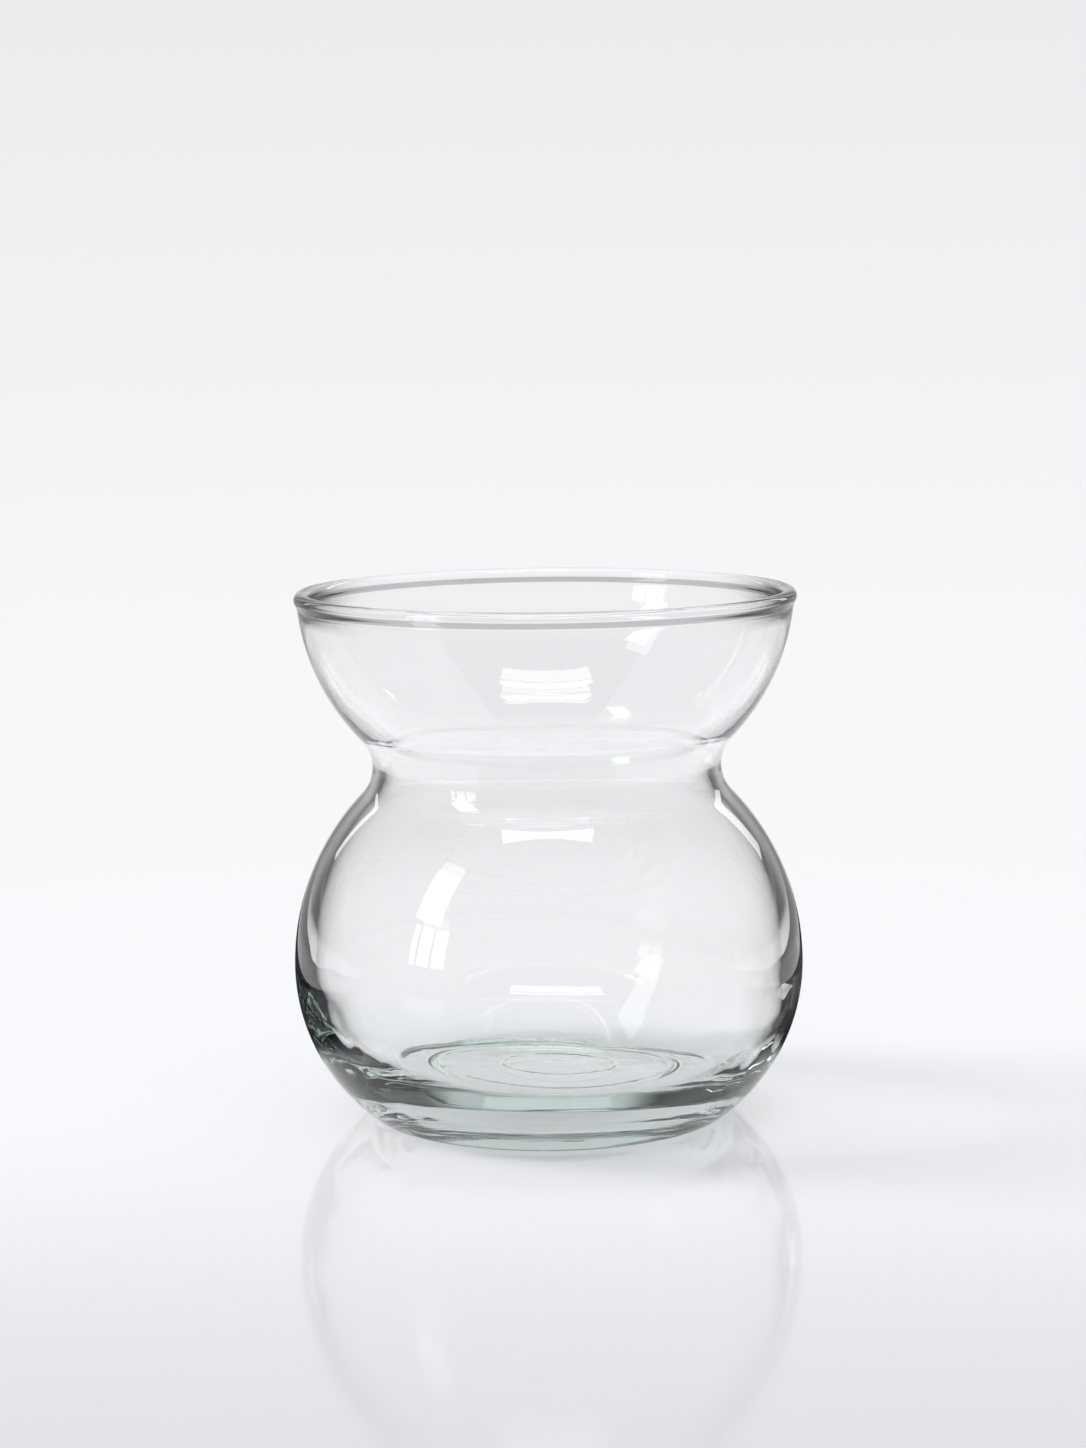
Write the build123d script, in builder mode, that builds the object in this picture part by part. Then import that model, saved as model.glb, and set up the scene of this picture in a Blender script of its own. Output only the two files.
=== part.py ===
# Hyacinth forcing vase: one vessel of clear glass, round about the Z axis.
# The wide lower bulb holds the water, the waist stops the flower bulb, and the
# cup above the waist holds it upright. Z is up and the table is at Z = 0.
import os
from math import sqrt

from build123d import *

# Outside of the glass, in millimetres
vase_height = 93.0  # table to the top of the rim
bulb_diameter = 90.0  # widest place of the water bulb
bulb_height = 26.8  # height of that widest place
heel_diameter = 62.6  # where the water bulb's lower curve would reach the table
heel_round = 3.0  # rounding of that corner, down to the bearing ring
waist_diameter = 61.5  # narrowest place
waist_height = 62.0  # height of the narrowest place
waist_round = 7.4  # radius of the hollow curve round the waist
cup_diameter = 87.4  # cup, where its curve would stand upright
cup_upright_height = 94.3  # height of that place, just over the rim
bead_diameter = 2.7  # fire-polished bead that ends the rim

# Inside of the glass
bulb_wall = 3.4  # wall at the widest place of the water bulb
waist_wall = 2.4  # wall at the waist
cup_wall = 1.8  # wall of the cup, where its curve would stand upright
floor_thickness = 5.6  # table to the floor inside
hollow_height = 28.0  # height of the widest place inside the water bulb
hollow_curve = 36.0  # radius of the inside wall below that place
hollow_corner = 19.2  # radius of the curve from that wall to the floor
floor_margin = 0.9  # level floor left round the low disc in its middle
floor_disc_rise = 0.3  # height of that disc

# Underside
bearing_width = 5.5  # flat ring that the vase stands on, inside the heel
recess_depth = 2.0  # inside that ring
recess_slope = 4.5  # width of the slope from the ring into the recess


def foot_corner(side, side_height, curve, floor, rounding):
    # A wall of radius `curve` stands upright at (side, side_height) and is rounded
    # into a level floor. Gives the ends of the rounding: on the floor, on the wall.
    centre = side - curve
    level = floor + rounding
    reach = curve - rounding
    drop = level - side_height
    out = sqrt(reach**2 - drop**2)
    stretch = curve / reach
    return (centre + out, floor), (centre + out * stretch, side_height + drop * stretch)


def waist_end(side, side_height, narrow, narrow_height, rounding):
    # A wall stands upright at (side, side_height) and runs smoothly into the round
    # curve of the waist. Gives the radius of that wall and the point where it ends.
    across = narrow + rounding - side
    rise = narrow_height - side_height
    curve = (across**2 + rise**2 - rounding**2) / (2 * (side - narrow))
    share = curve / (curve + rounding)
    centre = side - curve
    return curve, (centre + (narrow + rounding - centre) * share, side_height + rise * share)


def upright_radius(side, side_height, curve, height):
    # Radius of a wall of the vase at a height, where it stands upright at side_height
    return side - curve + sqrt(curve**2 - (height - side_height) ** 2)


# Outer wall
bulb_radius = bulb_diameter / 2
heel_radius = heel_diameter / 2
waist_radius = waist_diameter / 2
cup_radius = cup_diameter / 2
bead_radius = bead_diameter / 2
bead_height = vase_height - bead_radius

heel_reach = bulb_radius - heel_radius
bulb_curve = (heel_reach**2 + bulb_height**2) / (2 * heel_reach)
bearing_edge, heel_top = foot_corner(bulb_radius, bulb_height, bulb_curve, 0, heel_round)
shoulder_curve, shoulder_end = waist_end(
    bulb_radius, bulb_height, waist_radius, waist_height, waist_round
)
cup_curve, cup_start = waist_end(
    cup_radius, cup_upright_height, waist_radius, waist_height, waist_round
)
rim_outside = upright_radius(cup_radius, cup_upright_height, cup_curve, bead_height)

# Inner wall, on the same centre line
hollow_radius = bulb_radius - bulb_wall
throat_radius = waist_radius - waist_wall
throat_round = waist_round + waist_wall
seat_radius = cup_radius - cup_wall

floor_edge, hollow_corner_end = foot_corner(
    hollow_radius, hollow_height, hollow_curve, floor_thickness, hollow_corner
)
inner_shoulder_curve, inner_shoulder_end = waist_end(
    hollow_radius, hollow_height, throat_radius, waist_height, throat_round
)
seat_curve, seat_start = waist_end(
    seat_radius, cup_upright_height, throat_radius, waist_height, throat_round
)
rim_inside = upright_radius(seat_radius, cup_upright_height, seat_curve, bead_height)

# Low disc on the floor, and the recess inside the bearing ring
floor_disc_radius = floor_edge[0] - floor_margin
floor_disc_top = floor_thickness + floor_disc_rise
recess_radius = bearing_edge[0] - bearing_width

with BuildPart() as forcing_vase:
    with BuildSketch(Plane.XZ):
        # Everything within the outer wall, from the table to the rim
        with BuildLine():
            Line((0, 0), bearing_edge)
            heel = TangentArc(bearing_edge, heel_top, tangent=(1, 0))
            TangentArc(heel_top, (bulb_radius, bulb_height), tangent=heel % 1)
            shoulder = TangentArc((bulb_radius, bulb_height), shoulder_end, tangent=(0, 1))
            waist = TangentArc(shoulder_end, cup_start, tangent=shoulder % 1)
            TangentArc(cup_start, (rim_outside, bead_height), tangent=waist % 1)
            Polyline((rim_outside, bead_height), (0, bead_height), (0, 0))
        make_face()
        # The hollow, open at the rim
        with BuildLine():
            Line((0, floor_thickness), floor_edge)
            corner = TangentArc(floor_edge, hollow_corner_end, tangent=(1, 0))
            TangentArc(hollow_corner_end, (hollow_radius, hollow_height), tangent=corner % 1)
            inner_shoulder = TangentArc(
                (hollow_radius, hollow_height), inner_shoulder_end, tangent=(0, 1)
            )
            throat = TangentArc(inner_shoulder_end, seat_start, tangent=inner_shoulder % 1)
            TangentArc(seat_start, (rim_inside, bead_height), tangent=throat % 1)
            Polyline((rim_inside, bead_height), (0, bead_height), (0, floor_thickness))
        make_face(mode=Mode.SUBTRACT)
        # Rim bead, centred on the wall
        with Locations(((rim_outside + rim_inside) / 2, bead_height)):
            Circle(bead_radius)
        # Disc on the floor, with a rounded edge
        with BuildLine():
            Line((0, floor_thickness), (floor_disc_radius, floor_thickness))
            TangentArc(
                (floor_disc_radius, floor_thickness),
                (floor_disc_radius - floor_disc_rise, floor_disc_top),
                tangent=(0, 1),
            )
            Polyline(
                (floor_disc_radius - floor_disc_rise, floor_disc_top),
                (0, floor_disc_top),
                (0, floor_thickness),
            )
        make_face()
        # Recess in the underside
        with BuildLine():
            Polyline(
                (0, 0),
                (recess_radius, 0),
                (recess_radius - recess_slope, recess_depth),
                (0, recess_depth),
                close=True,
            )
        make_face(mode=Mode.SUBTRACT)
    revolve(axis=Axis.Z)

forcing_vase.part.label = "forcing_vase"

os.makedirs("parts", exist_ok=True)
export_step(forcing_vase.part, "parts/forcing_vase.step")
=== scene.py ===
import math

import bpy
from mathutils import Euler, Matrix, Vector


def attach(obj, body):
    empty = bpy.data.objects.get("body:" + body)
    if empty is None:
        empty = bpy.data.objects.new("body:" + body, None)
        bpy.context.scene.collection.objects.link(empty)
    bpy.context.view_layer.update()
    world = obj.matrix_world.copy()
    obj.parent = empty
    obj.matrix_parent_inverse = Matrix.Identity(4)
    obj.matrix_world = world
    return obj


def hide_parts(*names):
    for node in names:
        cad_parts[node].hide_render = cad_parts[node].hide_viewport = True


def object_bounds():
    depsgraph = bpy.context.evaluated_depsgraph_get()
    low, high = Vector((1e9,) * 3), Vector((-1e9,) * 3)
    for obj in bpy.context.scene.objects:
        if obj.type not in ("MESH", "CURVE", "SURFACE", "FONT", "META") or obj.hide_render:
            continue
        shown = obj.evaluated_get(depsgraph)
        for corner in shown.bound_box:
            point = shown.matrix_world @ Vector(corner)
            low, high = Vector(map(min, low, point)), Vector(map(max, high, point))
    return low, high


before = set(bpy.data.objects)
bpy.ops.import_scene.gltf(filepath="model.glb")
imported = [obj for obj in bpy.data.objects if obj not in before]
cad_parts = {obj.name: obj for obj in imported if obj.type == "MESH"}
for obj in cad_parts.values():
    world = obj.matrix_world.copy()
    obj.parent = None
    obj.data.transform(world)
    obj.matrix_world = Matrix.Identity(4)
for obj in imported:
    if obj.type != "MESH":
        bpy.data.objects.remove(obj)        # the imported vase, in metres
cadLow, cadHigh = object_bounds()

mm = 0.001
scene = bpy.context.scene


def hexColour(code):
    # sRGB hex to the linear colour that Blender's sockets take
    parts = [int(code[i:i + 2], 16) / 255 for i in (1, 3, 5)]
    return [c / 12.92 if c <= 0.04045 else ((c + 0.055) / 1.055) ** 2.4 for c in parts] + [1.0]


def addNode(tree, kind, inputs=(), **settings):
    # one node: settings by name, inputs in order or by name; a node as an input links its first output
    node = tree.nodes.new(kind)
    for name, value in settings.items():
        setattr(node, name, value)
    for socket, value in inputs.items() if isinstance(inputs, dict) else enumerate(inputs):
        if isinstance(value, bpy.types.Node):
            value = value.outputs[0]
        if isinstance(value, bpy.types.NodeSocket):
            tree.links.new(value, node.inputs[socket])
        else:
            node.inputs[socket].default_value = value
    return node


# The glass, in millimetres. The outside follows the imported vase.
vase = {
    "height": cadHigh.z / mm,
    "bulbWidth": (cadHigh.y - cadLow.y) / mm,
    "bulbHeight": 26.8,        # of the widest place
    "heelWidth": 62.6,         # where the bulb's lower curve would reach the table
    "heelRound": 3.0,
    "waistWidth": 61.5,
    "waistHeight": 62.0,
    "waistRound": 7.4,
    "cupWidth": 87.4,          # where the cup's curve would stand upright
    "cupUprightHeight": 94.3,
    "beadWidth": 2.7,
    "beadBlend": 2.1,          # below the bead's middle, where the wall starts to swell
    "bulbWall": 3.4,
    "waistWall": 2.4,
    "cupWall": 1.8,
    "floorThickness": 5.6,
    "hollowHeight": 28.0,
    "hollowCurve": 36.0,
    "hollowCorner": 19.2,
    "floorMargin": 0.9,        # level floor round the low disc
    "floorDiscRise": 0.3,
    "floorDiscRun": 0.36,      # half the width of the disc's sloping edge
    "floorRing": 10.2,         # radius of the faint ring in the middle of the disc
    "floorRingWidth": 1.6,
    "floorRingRise": 0.14,
    "bearingWidth": 5.5,
    "recessDepth": 2.0,
    "recessSlope": 4.5,
    "step": 1.15,              # along the outline
    "waistStep": 0.805,        # round the waist
    "cornerStep": 0.6,         # round the corner between wall and floor
    "fineStep": 0.3,           # along small roundings
    "discStep": 0.15,          # over the disc's edge
    "segments": 256,           # round the axis
    "weld": 0.002,             # vertices closer than this are one
    "seamHeight": 60.3,        # mould line round the waist
    "seamReach": 0.4,          # above and below that height
    "seamRise": 0.06,
    "outFacing": 0.7,          # the outside of the waist faces outward by more than this
    "stippleRing": (25.6, 29.9),               # radii of the dimpled part of the bearing ring
    "stipplePitch": 1.1,
    "stippleRise": 0.12,
    "ringLevel": 0.01,         # the bearing ring lies no higher
    "waves": {"size": 7.0, "rise": 0.26},      # the inside wall as it sagged
    "ripples": {"size": 3.6, "rise": 0.06},
    "calm": 0.1,               # share of the waves above the foot and in front and behind
    "wavesFrom": 4.0,          # all of the inside lies above this height
    "inFacing": -0.02,         # its wall faces outward by less than this
    "upFacing": 0.9,           # and its floor upward by more than this
    "wavesFoot": (20.0, 34.0),                 # heights between which the foot's waves die down
    "wavesWall": (30.0, 60.0),                 # and those of the wall, down to the next share
    "wavesLeast": 0.3,
    "wavesRim": (80.0, 86.0),                  # and the last of them, below the rim
    "lean": 1.3,               # how far the hollow's foot lies off the axis
    "leanFoot": (10.0, 26.0),                  # heights between which that dies down
}


def footCorner(side, sideHeight, curve, floor, rounding):
    # ends of the rounding between a curved wall and a level floor: on the floor, on the wall
    centre = side - curve
    drop = floor + rounding - sideHeight
    reach = curve - rounding
    out = math.sqrt(reach ** 2 - drop ** 2)
    stretch = curve / reach
    return (centre + out, floor), (centre + out * stretch, sideHeight + drop * stretch)


def waistEnd(side, sideHeight, narrow, narrowHeight, rounding):
    # a wall that is upright at (side, sideHeight): its radius, and where it meets the waist's round curve
    across = narrow + rounding - side
    rise = narrowHeight - sideHeight
    curve = (across ** 2 + rise ** 2 - rounding ** 2) / (2 * (side - narrow))
    share = curve / (curve + rounding)
    centre = side - curve
    return curve, (centre + (narrow + rounding - centre) * share, sideHeight + rise * share)


def wallAt(side, sideHeight, curve, height):
    # a wall's radius at a height, and its direction there, going up
    rise = height - sideHeight
    out = math.sqrt(curve ** 2 - rise ** 2)
    return side - curve + out, (-rise / curve, out / curve)


# The outline is drawn in the XZ plane by one vertex, which spins and extrudes along.
pen = {"x": 0.0, "z": 0.0, "heading": (1.0, 0.0)}


def penStart(name, x, z, heading):
    bpy.ops.object.select_all(action="DESELECT")
    bpy.ops.mesh.primitive_plane_add(size=mm, location=(0, 0, 0))
    bpy.context.object.name = name
    bpy.ops.object.mode_set(mode="EDIT")
    bpy.ops.mesh.select_all(action="SELECT")
    bpy.ops.mesh.merge(type="CENTER")
    bpy.ops.transform.translate(value=(x * mm, 0, z * mm))
    pen.update(x=x, z=z, heading=heading)


def lineTo(x, z, step):
    across, rise = x - pen["x"], z - pen["z"]
    length = math.hypot(across, rise)
    count = max(1, round(length / step))
    for i in range(count):
        bpy.ops.mesh.extrude_vertices_move(
            TRANSFORM_OT_translate={"value": (across / count * mm, 0, rise / count * mm)}
        )
    pen.update(x=x, z=z, heading=(across / length, rise / length))


def arcTo(x, z, step):
    # an arc that leaves along the heading and ends at (x, z)
    across, rise = x - pen["x"], z - pen["z"]
    hx, hz = pen["heading"]
    turn = 2 * math.atan2(hx * rise - hz * across, hx * across + hz * rise)
    radius = (across ** 2 + rise ** 2) / (2 * (hx * rise - hz * across))
    centre = (pen["x"] - hz * radius, pen["z"] + hx * radius)
    bpy.ops.mesh.spin(
        steps=max(2, round(abs(turn * radius) / step)),
        angle=turn,
        center=(centre[0] * mm, 0, centre[1] * mm),
        axis=(0, 1, 0),
    )
    cos, sin = math.cos(turn), math.sin(turn)
    pen.update(x=x, z=z, heading=(hx * cos - hz * sin, hx * sin + hz * cos))


def blendOnto(x, z, heading, side, centre, radius):
    # where a small hollow curve that leaves (x, z) along heading touches a round bead; side +1 turns left
    nx, nz = -heading[1] * side, heading[0] * side
    dx, dz = x - centre[0], z - centre[1]
    blend = (dx ** 2 + dz ** 2 - radius ** 2) / (2 * (radius - nx * dx - nz * dz))
    share = radius / (radius + blend)
    return centre[0] + (x + nx * blend - centre[0]) * share, centre[1] + (z + nz * blend - centre[1]) * share


def makeVase(s):
    step, fine = s["step"], s["fineStep"]
    bulb, waist, cup = s["bulbWidth"] / 2, s["waistWidth"] / 2, s["cupWidth"] / 2
    upright, bead = s["cupUprightHeight"], s["beadWidth"] / 2
    heelReach = bulb - s["heelWidth"] / 2
    bulbCurve = (heelReach ** 2 + s["bulbHeight"] ** 2) / (2 * heelReach)
    bearing, heelTop = footCorner(bulb, s["bulbHeight"], bulbCurve, 0, s["heelRound"])
    shoulder = waistEnd(bulb, s["bulbHeight"], waist, s["waistHeight"], s["waistRound"])
    cupOut = waistEnd(cup, upright, waist, s["waistHeight"], s["waistRound"])

    hollow, throat, seat = bulb - s["bulbWall"], waist - s["waistWall"], cup - s["cupWall"]
    throatRound = s["waistRound"] + s["waistWall"]
    floorEdge, cornerTop = footCorner(
        hollow, s["hollowHeight"], s["hollowCurve"], s["floorThickness"], s["hollowCorner"]
    )
    shoulderIn = waistEnd(hollow, s["hollowHeight"], throat, s["waistHeight"], throatRound)
    cupIn = waistEnd(seat, upright, throat, s["waistHeight"], throatRound)

    # the bead sits on the middle of the wall, and both walls swell into it
    beadZ = s["height"] - bead
    beadX = (wallAt(cup, upright, cupOut[0], beadZ)[0] + wallAt(seat, upright, cupIn[0], beadZ)[0]) / 2
    lipZ = beadZ - s["beadBlend"]
    lipOut, upOut = wallAt(cup, upright, cupOut[0], lipZ)
    lipIn, upIn = wallAt(seat, upright, cupIn[0], lipZ)
    beadOut = blendOnto(lipOut, lipZ, upOut, -1, (beadX, beadZ), bead)
    beadIn = blendOnto(lipIn, lipZ, upIn, 1, (beadX, beadZ), bead)

    # underside, from the middle out to the bearing ring
    recess = bearing[0] - s["bearingWidth"]
    penStart("vaseGlass", 0, s["recessDepth"], (1, 0))
    lineTo(recess - s["recessSlope"], s["recessDepth"], step)
    arcTo(recess - s["recessSlope"] / 2, s["recessDepth"] / 2, fine)
    arcTo(recess, 0, fine)
    pen["heading"] = (1, 0)
    lineTo(bearing[0], 0, step)

    # outside, up to the bead
    arcTo(*heelTop, fine)
    arcTo(bulb, s["bulbHeight"], step)
    arcTo(*shoulder[1], step)
    arcTo(*cupOut[1], s["waistStep"])
    arcTo(lipOut, lipZ, step)
    arcTo(*beadOut, fine)
    arcTo(beadX, s["height"], fine)
    arcTo(*beadIn, fine)

    # inside, down to the floor
    arcTo(lipIn, lipZ, fine)
    arcTo(*cupIn[1], step)
    arcTo(*shoulderIn[1], s["waistStep"])
    arcTo(hollow, s["hollowHeight"], step)
    arcTo(*cornerTop, step)
    arcTo(*floorEdge, s["cornerStep"])
    pen["heading"] = (-1, 0)

    # low disc on the floor, with a faint ring in its middle
    disc, run = floorEdge[0] - s["floorMargin"], s["floorDiscRun"]
    top = s["floorThickness"] + s["floorDiscRise"]
    lineTo(disc + run, s["floorThickness"], fine)
    arcTo(disc, s["floorThickness"] + s["floorDiscRise"] / 2, s["discStep"])
    arcTo(disc - run, top, s["discStep"])
    ring, half, ringRise = s["floorRing"], s["floorRingWidth"] / 2, s["floorRingRise"]
    lineTo(ring + half, top, step)
    arcTo(ring + half / 2, top + ringRise / 2, fine)
    arcTo(ring, top + ringRise, fine)
    arcTo(ring - half / 2, top + ringRise / 2, fine)
    arcTo(ring - half, top, fine)
    lineTo(0, top, step)

    # once round the axis, with the seam and both poles closed
    bpy.ops.mesh.select_all(action="SELECT")
    bpy.ops.mesh.spin(steps=s["segments"], angle=2 * math.pi, center=(0, 0, 0), axis=(0, 0, 1))
    bpy.ops.mesh.select_all(action="SELECT")
    bpy.ops.mesh.remove_doubles(threshold=s["weld"] * mm)
    bpy.ops.mesh.normals_make_consistent(inside=False)
    bpy.ops.object.mode_set(mode="OBJECT")
    bpy.ops.object.shade_smooth()
    print("vase drawn:", len(bpy.context.object.data.polygons), "faces")
    return bpy.context.object


def outward(vertex):
    # distance from the axis, and how far the surface there faces away from it
    radius = math.hypot(vertex.co.x, vertex.co.y)
    return radius, (vertex.normal.x * vertex.co.x + vertex.normal.y * vertex.co.y) / max(radius, 1e-6)


def dying(height, full, none):
    # 1 up to the first height, 0 from the second on
    return max(0.0, min(1.0, (none - height) / (none - full)))


def selectWhere(piece, test):
    bpy.ops.object.mode_set(mode="EDIT")
    bpy.ops.mesh.select_all(action="DESELECT")
    bpy.ops.mesh.select_mode(type="VERT")
    bpy.ops.object.mode_set(mode="OBJECT")
    for vertex in piece.data.vertices:
        vertex.select = test(vertex)
    bpy.ops.object.mode_set(mode="EDIT")


def roughenVase(piece, s):
    # mould line: one ring of the waist's outside, pushed out a little
    def onSeam(vertex):
        near = abs(vertex.co.z / mm - s["seamHeight"]) < s["seamReach"]
        return near and outward(vertex)[1] > s["outFacing"]

    selectWhere(piece, onSeam)
    grow = 1 + 2 * s["seamRise"] / s["waistWidth"]
    bpy.ops.transform.resize(value=(grow, grow, 1), center_override=(0, 0, 0))
    bpy.ops.object.mode_set(mode="OBJECT")

    # stipple: every second vertex of the bearing ring, pressed up
    def onStipple(vertex):
        radius = outward(vertex)[0] / mm
        inner, outer = s["stippleRing"]
        if vertex.co.z > s["ringLevel"] * mm or not inner < radius < outer:
            return False
        turn = round(math.atan2(vertex.co.y, vertex.co.x) / (2 * math.pi) * s["segments"])
        return (turn + round(radius / s["stipplePitch"])) % 2 == 0

    selectWhere(piece, onStipple)
    bpy.ops.transform.translate(value=(0, 0, s["stippleRise"] * mm))
    bpy.ops.object.mode_set(mode="OBJECT")

    # the inside wall, most of all at the foot's two sides, and not at the rim
    inside = piece.vertex_groups.new(name="inside")
    foot = piece.vertex_groups.new(name="foot")
    for vertex in piece.data.vertices:
        height = vertex.co.z / mm
        radius, facing = outward(vertex)
        if height > s["wavesFrom"] and (facing < s["inFacing"] or vertex.normal.z > s["upFacing"]):
            sideways = (vertex.co.x / max(radius, mm)) ** 2
            share = s["calm"] + (1 - s["calm"]) * sideways * dying(height, *s["wavesFoot"])
            share *= max(s["wavesLeast"], dying(height, *s["wavesWall"]))
            share *= dying(height, *s["wavesRim"])
            inside.add([vertex.index], share, "REPLACE")
            foot.add([vertex.index], dying(height, *s["leanFoot"]), "REPLACE")
    for name in ("waves", "ripples"):
        pattern = bpy.data.textures.new(name, "CLOUDS")
        pattern.noise_scale = s[name]["size"] * mm
        pattern.noise_depth = 1
        press = piece.modifiers.new(name, "DISPLACE")
        press.texture = pattern
        press.texture_coords = "LOCAL"
        press.vertex_group = "inside"
        press.strength = s[name]["rise"] * mm
        press.mid_level = 0.5
        bpy.ops.object.modifier_apply(modifier=name)
    lean = piece.modifiers.new("lean", "DISPLACE")
    lean.direction = "X"
    lean.vertex_group = "foot"
    lean.strength = s["lean"] * mm
    lean.mid_level = 0.0
    bpy.ops.object.modifier_apply(modifier="lean")
    print("vase roughened")


# Soda-lime glass, blown and fire-polished: clear and sharp, grey-green where it is thick
glass = {
    "ior": 1.52,
    "tint": "#dce7e4",         # what is left of white light
    "density": 20.0,           # per metre
    "shadeFacing": "#fefefe",  # light let through to the floor, straight on
    "shadeGrazing": "#898b8b",  # and along the wall
    "shadeBlend": 0.12,
    "shadeFoot": 0.25,         # share of the latter at the lowest part, where the vase meets the floor
    "skin": "#ffffff",
    "edge": "#222827",         # painted shade: dark colour put into the glass where a wall is seen edge-on
    "paintedShadeBulb": (0.62, 0.97),  # share of grazing at which that begins and ends
    "paintedShadeRim": (0.3, 0.75),
    "paintedShadeUpTo": (56.0, 66.0),  # mm, bulb and waist up to this height
    "paintedShadeCup": 0.12,           # share of it on the cup
    "paintedShadeAbove": (87.5, 89.0),  # mm, and the rim from this one on
    "footShadeZone": (2.5, 4.5),    # mm, lowest part, where level faces take it too
    "ripple": 2.4,             # mm, size of the faint ripples left by the mould
    "rippleRise": 0.003,       # mm
}


def makeGlass(s):
    material = bpy.data.materials.new("sodaLimeGlass")
    material.use_nodes = True
    tree = material.node_tree
    tree.nodes.clear()
    place = addNode(tree, "ShaderNodeTexCoord")
    ripple = addNode(
        tree,
        "ShaderNodeTexNoise",
        {"Vector": place.outputs["Object"], "Scale": 1 / (s["ripple"] * mm), "Detail": 1.0, "Roughness": 0.4},
    )
    skin = addNode(
        tree,
        "ShaderNodeBump",
        {"Strength": 1.0, "Distance": s["rippleRise"] * mm, "Height": ripple.outputs["Fac"]},
    )

    # painted shade: where bulb and rim are seen edge-on, and at the foot, the glass is painted dark in place
    # of the room's dark it would show; level faces are not, above the foot
    along = addNode(tree, "ShaderNodeLayerWeight", {"Blend": 0.5}).outputs["Facing"]
    grazing = {}
    for name in ("paintedShadeBulb", "paintedShadeRim"):
        grazing[name] = addNode(
            tree, "ShaderNodeMapRange", [along, *s[name]], interpolation_type="SMOOTHSTEP"
        )
    height = addNode(tree, "ShaderNodeSeparateXYZ", [place.outputs["Object"]]).outputs["Z"]
    zone = {}
    shares = {"paintedShadeUpTo": (1.0, s["paintedShadeCup"]), "paintedShadeAbove": (0.0, 1.0), "footShadeZone": (1.0, 0.0)}
    for name, ends in shares.items():
        limits = [limit * mm for limit in s[name]]
        zone[name] = addNode(tree, "ShaderNodeMapRange", [height, *limits, *ends])
    wall = addNode(tree, "ShaderNodeMath", [zone["paintedShadeUpTo"], grazing["paintedShadeBulb"]], operation="MULTIPLY")
    rim = addNode(tree, "ShaderNodeMath", [zone["paintedShadeAbove"], grazing["paintedShadeRim"]], operation="MULTIPLY")
    edge = addNode(tree, "ShaderNodeMath", [wall, rim], operation="MAXIMUM")
    facingUp = addNode(tree, "ShaderNodeSeparateXYZ", [place.outputs["Normal"]]).outputs["Z"]
    level = addNode(tree, "ShaderNodeMath", [facingUp, facingUp], operation="MULTIPLY")
    upright = addNode(tree, "ShaderNodeMath", [1.0, level], operation="SUBTRACT")
    taking = addNode(tree, "ShaderNodeMath", [upright, zone["footShadeZone"]], operation="MAXIMUM")
    share = addNode(tree, "ShaderNodeMath", [edge, taking], operation="MULTIPLY")
    # painted shade: the glass tinted towards the dark colour by that share
    paintedShadeTone = addNode(
        tree,
        "ShaderNodeMix",
        {0: share, 6: hexColour(s["skin"]), 7: hexColour(s["edge"])},
        data_type="RGBA",
    )
    body = addNode(
        tree,
        "ShaderNodeBsdfPrincipled",
        {
            "Base Color": paintedShadeTone.outputs[2],
            "Roughness": 0.0,
            "IOR": s["ior"],
            "Transmission Weight": 1.0,
            "Normal": skin,
        },
    )

    # light on its way to the floor passes straight, shaded by the wall's slant and at the foot
    path = addNode(tree, "ShaderNodeLightPath")
    slant = addNode(tree, "ShaderNodeLayerWeight", {"Blend": s["shadeBlend"]}).outputs["Facing"]
    contact = addNode(tree, "ShaderNodeMath", [zone["footShadeZone"], s["shadeFoot"]], operation="MULTIPLY")
    shaded = addNode(tree, "ShaderNodeMath", [slant, contact], operation="MAXIMUM")
    shade = addNode(
        tree,
        "ShaderNodeMix",
        {0: shaded, 6: hexColour(s["shadeFacing"]), 7: hexColour(s["shadeGrazing"])},
        data_type="RGBA",
    )
    clear = addNode(tree, "ShaderNodeBsdfTransparent", [shade.outputs[2]])
    lit = addNode(
        tree,
        "ShaderNodeMath",
        [path.outputs["Is Shadow Ray"], path.outputs["Is Diffuse Ray"]],
        operation="MAXIMUM",
    )
    surface = addNode(tree, "ShaderNodeMixShader", [lit, body, clear])
    tint = addNode(
        tree, "ShaderNodeVolumeAbsorption", {"Color": hexColour(s["tint"]), "Density": s["density"]}
    )
    addNode(tree, "ShaderNodeOutputMaterial", {"Surface": surface, "Volume": tint})
    print("glass mixed")
    return material


vaseGlass = makeVase(vase)
roughenVase(vaseGlass, vase)
vaseGlass.data.materials.clear()
vaseGlass.data.materials.append(makeGlass(glass))
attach(vaseGlass, "root")
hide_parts("forcing_vase")

# Cast white acrylic: pale, with a soft mirror image of the vase, painted darker towards the front and painted
# black where light turned round in the bulb meets it. Millimetres.
floor = {
    "radius": 330.0,
    "corners": 96,
    "fade": (205.0, 323.4),        # radii between which the sheet fades into the sweep
    "far": "#f6f6f8",
    "near": "#d9d9dd",
    "paintedShadeTone": (-190.0, 10.0),        # painted shade: front to back, from the darker near colour to the far one
    "roughness": 0.08,
    "ior": 1.3,
    "drop": 0.05,                  # below the vase
    "paintedDarkFrom": (48.0, 62.0),     # painted shade: beyond these radii the sheet is black to light turned round in the bulb
    "paintedDarkShare": 0.95,
    "bulbSide": 40.0,              # where on the bulb such light leaves it, from the axis
    "bulbTop": 58.0,               # and at most how high
    "behind": (-25.0, 5.0),        # light mirrored by the outside, only behind these
}


def turnedRound(tree, path):
    # 1 for light that was mirrored on or inside one wall; the halves lie between whole counts
    mirrored = addNode(tree, "ShaderNodeMath", [path.outputs["Glossy Depth"], 0.5], operation="GREATER_THAN")
    short = addNode(tree, "ShaderNodeMath", [path.outputs["Transmission Depth"], 2.5], operation="LESS_THAN")
    return addNode(tree, "ShaderNodeMath", [mirrored, short], operation="MULTIPLY")


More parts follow.
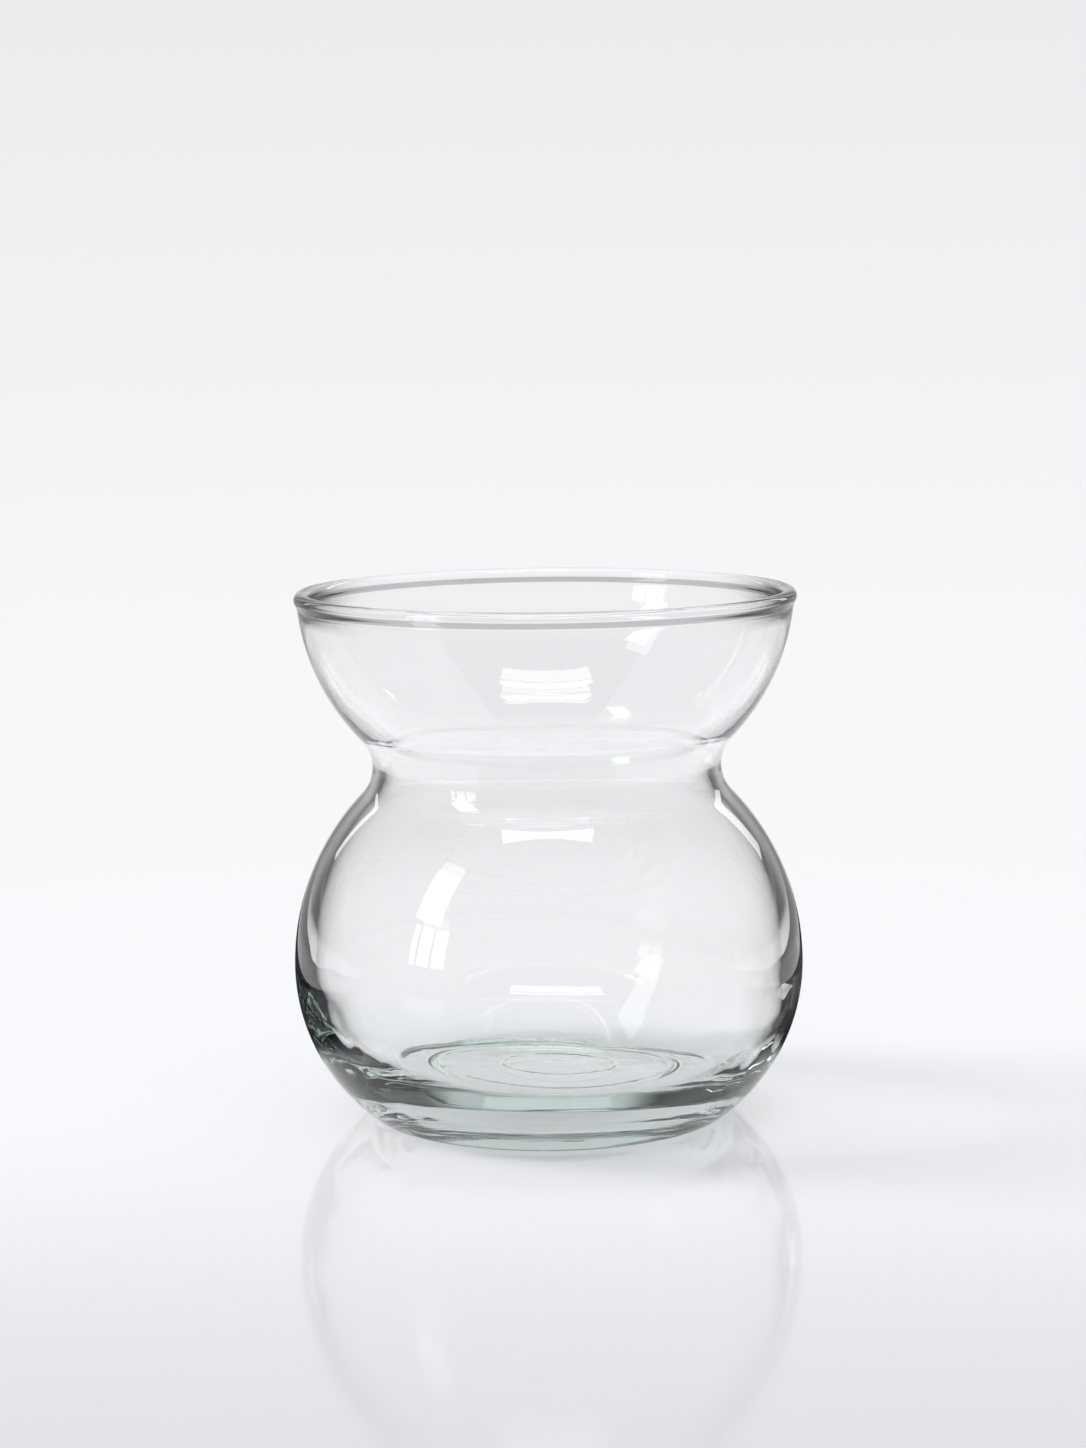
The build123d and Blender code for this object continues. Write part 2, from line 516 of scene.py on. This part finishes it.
def makeFloor(s):
    bpy.ops.object.select_all(action="DESELECT")
    bpy.ops.mesh.primitive_circle_add(
        vertices=s["corners"], radius=s["radius"] * mm, fill_type="NGON", location=(0, 0, s["drop"] * -mm)
    )
    floorDisc = bpy.context.object
    floorDisc.name = "studioFloor"
    material = bpy.data.materials.new("whiteAcrylic")
    material.use_nodes = True
    tree = material.node_tree
    tree.nodes.clear()
    smooth = {"interpolation_type": "SMOOTHSTEP"}
    limits = {name: [limit * mm for limit in s[name]] for name in ("fade", "paintedShadeTone", "paintedDarkFrom", "behind")}
    place = addNode(tree, "ShaderNodeTexCoord").outputs["Object"]
    parts = addNode(tree, "ShaderNodeSeparateXYZ", [place])
    # painted shade: the sheet darker towards the front
    paintedFalloff = addNode(tree, "ShaderNodeMapRange", [parts.outputs["Y"], *limits["paintedShadeTone"]], **smooth)
    paintedShadeTone = addNode(
        tree, "ShaderNodeMix", {0: paintedFalloff, 6: hexColour(s["near"]), 7: hexColour(s["far"])}, data_type="RGBA"
    )
    sheet = addNode(
        tree,
        "ShaderNodeBsdfPrincipled",
        {"Base Color": paintedShadeTone.outputs[2], "Roughness": s["roughness"], "IOR": s["ior"]},
    )
    reach = addNode(tree, "ShaderNodeVectorMath", [place], operation="LENGTH").outputs["Value"]
    fade = addNode(tree, "ShaderNodeMapRange", [reach, *limits["fade"]], **smooth)

    # the height that the light came down from follows from its way and from the bulb's side
    path = addNode(tree, "ShaderNodeLightPath")
    across = addNode(tree, "ShaderNodeMath", [parts.outputs["X"]], operation="ABSOLUTE")
    across = addNode(tree, "ShaderNodeMath", [across, s["bulbSide"] * mm], operation="SUBTRACT")
    acrossSquare, backSquare, waySquare = [
        addNode(tree, "ShaderNodeMath", [length, length], operation="MULTIPLY")
        for length in (across, parts.outputs["Y"], path.outputs["Ray Length"])
    ]
    flat = addNode(tree, "ShaderNodeMath", [acrossSquare, backSquare], operation="ADD")
    fell = addNode(tree, "ShaderNodeMath", [waySquare, flat], operation="SUBTRACT")
    low = addNode(tree, "ShaderNodeMath", [fell, (s["bulbTop"] * mm) ** 2], operation="LESS_THAN")
    behind = addNode(tree, "ShaderNodeMapRange", [parts.outputs["Y"], *limits["behind"]], **smooth)
    bends = path.outputs["Transmission Depth"]
    within = addNode(tree, "ShaderNodeMath", [bends, 0.5], operation="GREATER_THAN")
    side = addNode(tree, "ShaderNodeMath", [behind, within], operation="MAXIMUM")
    beyond = addNode(tree, "ShaderNodeMapRange", [reach, *limits["paintedDarkFrom"], 0.0, s["paintedDarkShare"]], **smooth)
    paintedDark = turnedRound(tree, path)
    for share in (low, side, beyond):
        paintedDark = addNode(tree, "ShaderNodeMath", [paintedDark, share], operation="MULTIPLY")
    # painted shade: black for light turned round in the bulb, for its dark edges
    black = addNode(tree, "ShaderNodeEmission", {"Strength": 0.0})
    shown = addNode(tree, "ShaderNodeMixShader", [paintedDark, sheet, black])
    away = addNode(tree, "ShaderNodeBsdfTransparent")
    surface = addNode(tree, "ShaderNodeMixShader", [fade, shown, away])
    addNode(tree, "ShaderNodeOutputMaterial", {"Surface": surface})
    floorDisc.data.materials.append(material)
    print("floor laid")
    return floorDisc


makeFloor(floor)

# Surroundings: a white sweep, also for mirrored light and for light that went through both walls.
# Light bent once by the rim, or turned round inside a wall, finds the dark room above the sweep.
# Pairs are degrees, up from the horizon or aside from straight behind.
sweep = {
    "white": "#f8f8fb",
    "top": "#ebebee",
    "rampFrom": -0.12,             # sine of the height where the white starts to turn to the top colour
    "rampTo": 0.09,
    "sky": "#f7f8fa",
    "fill": 0.68,                  # level of the sky's light on the floor
    "both": 0.93,                  # through both walls
    "edge": (5.0, 9.0),            # the sweep's top edge
    "dark": 0.0,                   # above it, at the sides
    "middle": 0.6,                 # and straight behind
    "middleSides": (5.0, 16.0),
    "panelFoot": (6.0, 10.0),      # a white wall straight behind, for turned light
    "panelLight": 0.8,
    "panelFade": (28.0, 42.0),     # where it darkens upwards
    "panelHigh": 0.4,
    "panelWidth": (25.0, 12.0),    # half its width, low and high
    "panelNarrow": (30.0, 45.0),   # where it narrows
    "panelSoft": (-7.0, 7.0),      # its edges
    "turned": 0.6,                 # turned light, level and straight behind
    "turnedAside": 0.08,
    "turnedSides": (18.0, 34.0),
    "turnedLow": 0.7,              # below the horizon, past the floor
    "horizon": (-11.0, -9.5),
    "turnedHigh": 0.0,
    "turnedRise": (7.0, 13.0),
    "mirrored": 0.55,              # the room beside the sweep, as the outside mirrors it
    "mirrorEdge": (10.0, 17.0),
}


def makeWorld(s):
    world = bpy.data.worlds.new("studio")
    scene.world = world
    world.use_nodes = True
    tree = world.node_tree
    tree.nodes.clear()
    span = "ShaderNodeMapRange"
    smooth = {"interpolation_type": "SMOOTHSTEP"}
    angles = {name: [math.radians(a) for a in pair] for name, pair in s.items() if isinstance(pair, tuple)}
    way = addNode(tree, "ShaderNodeTexCoord").outputs["Generated"]
    parts = addNode(tree, "ShaderNodeSeparateXYZ", [way])
    path = addNode(tree, "ShaderNodeLightPath")
    aside = addNode(tree, "ShaderNodeMath", [parts.outputs["X"], parts.outputs["Y"]], operation="ARCTAN2")
    aside = addNode(tree, "ShaderNodeMath", [aside], operation="ABSOLUTE")
    rise = addNode(tree, "ShaderNodeMath", [parts.outputs["Z"]], operation="ARCSINE")

    # light bent by one wall
    above = addNode(tree, span, [aside, *angles["middleSides"], s["middle"], s["dark"]], **smooth)
    once = addNode(tree, span, [rise, *angles["edge"], 1.0, above], **smooth)

    # light turned round inside one wall
    panel = addNode(tree, span, [rise, *angles["panelFoot"], 0.0, s["panelLight"]], **smooth)
    panel = addNode(tree, span, [rise, *angles["panelFade"], panel, s["panelHigh"]], **smooth)
    width = addNode(tree, span, [rise, *angles["panelNarrow"], *angles["panelWidth"]], **smooth)
    past = addNode(tree, "ShaderNodeMath", [aside, width], operation="SUBTRACT")
    panel = addNode(tree, span, [past, *angles["panelSoft"], panel, 0.0], **smooth)
    level = addNode(tree, span, [aside, *angles["turnedSides"], s["turned"], s["turnedAside"]], **smooth)
    low = addNode(tree, span, [rise, *angles["horizon"], s["turnedLow"], level], **smooth)
    high = addNode(tree, span, [rise, *angles["turnedRise"], low, s["turnedHigh"]], **smooth)
    turned = addNode(tree, "ShaderNodeMath", [high, panel], operation="MAXIMUM")

    # either of these, or light through both walls
    one = addNode(tree, "ShaderNodeMix", {0: turnedRound(tree, path), 2: once, 3: turned})
    two = addNode(tree, "ShaderNodeMath", [path.outputs["Transmission Depth"], 2.5], operation="GREATER_THAN")
    bent = addNode(tree, "ShaderNodeMix", {0: two, 2: one, 3: s["both"]})
    through = addNode(tree, "ShaderNodeBackground", {"Color": hexColour(s["white"]), "Strength": bent})

    # what the camera and the outside of the glass see
    height = addNode(tree, span, [parts.outputs["Z"], s["rampFrom"], s["rampTo"]])
    ramp = addNode(
        tree, "ShaderNodeMix", {0: height, 6: hexColour(s["white"]), 7: hexColour(s["top"])}, data_type="RGBA"
    )
    beside = addNode(tree, span, [aside, *angles["mirrorEdge"], 1.0, s["mirrored"]], **smooth)
    beside = addNode(tree, span, [rise, *angles["horizon"], 1.0, beside], **smooth)
    plain = addNode(tree, "ShaderNodeMix", {0: path.outputs["Is Camera Ray"], 2: beside, 3: 1.0})
    seen = addNode(tree, "ShaderNodeBackground", {"Color": ramp.outputs[2], "Strength": plain})

    sky = addNode(tree, "ShaderNodeBackground", {"Color": hexColour(s["sky"]), "Strength": s["fill"]})
    eye = addNode(
        tree,
        "ShaderNodeMath",
        [path.outputs["Is Camera Ray"], path.outputs["Is Glossy Ray"]],
        operation="MAXIMUM",
    )
    direct = addNode(tree, "ShaderNodeMixShader", [eye, sky, seen])
    shown = addNode(tree, "ShaderNodeMixShader", [path.outputs["Is Transmission Ray"], direct, through])
    addNode(tree, "ShaderNodeOutputWorld", {"Surface": shown})
    print("surroundings set")


makeWorld(sweep)

# Soft boxes, seen in the glass only: degrees round the vase and up, metres wide and high, radiance, and
# whether they show mirrored by the glass, through it or both. 0 is the camera's side, positive to its right.
lampDistance = 0.9
lampAim = (0, 0, 0.045)
lamps = {
    "windowTop": (-59.5, 32, 0.19, 0.33, 5.0, "mirrored"),
    "windowLow0": (-62.6, 11.5, 0.046, 0.25, 3.2, "mirrored"),
    "windowLow1": (-57.0, 11.5, 0.091, 0.25, 3.2, "mirrored"),
    "windowLow2": (-49.7, 11.5, 0.099, 0.25, 3.2, "mirrored"),
    "windowThrough0": (-59.5, 29, 0.19, 0.42, 3.0, "through"),
    "windowThrough1": (-59.5, 12.5, 0.10, 0.2, 1.4, "through"),
    "windowThrough2": (-52.0, 12.5, 0.10, 0.2, 1.4, "through"),
    "overheadLow": (0, 72.2, 0.56, 0.134, 4.0, "both"),
    "overheadHigh": (0, 78.9, 0.56, 0.05, 4.0, "both"),
    "stripRight": (139, 22, 0.10, 0.40, 3.0, "mirrored"),
    "stripLeft": (-139, 22, 0.05, 0.40, 3.0, "mirrored"),
}


def softBox(name, turn, lift, width, height, radiance, shows):
    a, e = math.radians(turn), math.radians(lift)
    way = Vector((math.sin(a) * math.cos(e), -math.cos(a) * math.cos(e), math.sin(e)))
    bpy.ops.object.light_add(type="AREA", location=Vector(lampAim) + way * lampDistance)
    lamp = bpy.context.object
    lamp.name = name
    lamp.rotation_euler = way.to_track_quat("Z", "Y").to_euler()
    lamp.data.shape = "RECTANGLE"
    lamp.data.size, lamp.data.size_y = width, height
    lamp.data.energy = radiance * math.pi * width * height
    lamp.visible_camera = False
    lamp.visible_diffuse = False        # the key and the sky light the floor
    lamp.visible_glossy = shows != "through"
    lamp.visible_transmission = shows != "mirrored"


for name, values in lamps.items():
    softBox(name, *values)

# The key, a wide sun from the left that lights the floor
key = {"from": (-0.84, 0.13, 0.55), "width": 26.0, "strength": 2.6}
bpy.ops.object.light_add(type="SUN", location=key["from"])
sun = bpy.context.object
sun.name = "keyLeft"
sun.rotation_euler = Vector(key["from"]).to_track_quat("Z", "Y").to_euler()
sun.data.angle = math.radians(key["width"])
sun.data.energy = key["strength"]
sun.visible_glossy = False
sun.visible_transmission = False
print("lamps:", len(lamps) + 1)

scene.view_settings.view_transform = "Standard"
scene.cycles.max_bounces = 32
scene.cycles.glossy_bounces = 16
scene.cycles.transmission_bounces = 24
scene.cycles.transparent_max_bounces = 24

# Camera, at the photograph's place
camera = {
    "place": (-0.6, -575.9, 146.2),
    "pitch": 7.633,            # degrees below the horizon
    "roll": -0.6,
    "focal": 3300,             # in pixels of the 1448-pixel side
    "longSide": 1448,
    "sensor": 36.0,
    "clipStart": 10.0,
}


def makeCamera(s):
    bpy.ops.object.camera_add(location=Vector(s["place"]) * mm)
    eye = bpy.context.object
    eye.name = "photoCamera"
    eye.data.sensor_width = s["sensor"]
    eye.data.lens = s["focal"] / s["longSide"] * s["sensor"]
    tilt = Euler((math.radians(90 - s["pitch"]), 0, 0)).to_matrix()
    roll = Euler((0, 0, math.radians(s["roll"]))).to_matrix()
    eye.rotation_euler = (tilt @ roll).to_euler()
    eye.data.clip_start = s["clipStart"] * mm
    scene.camera = eye
    print("camera placed")


makeCamera(camera)
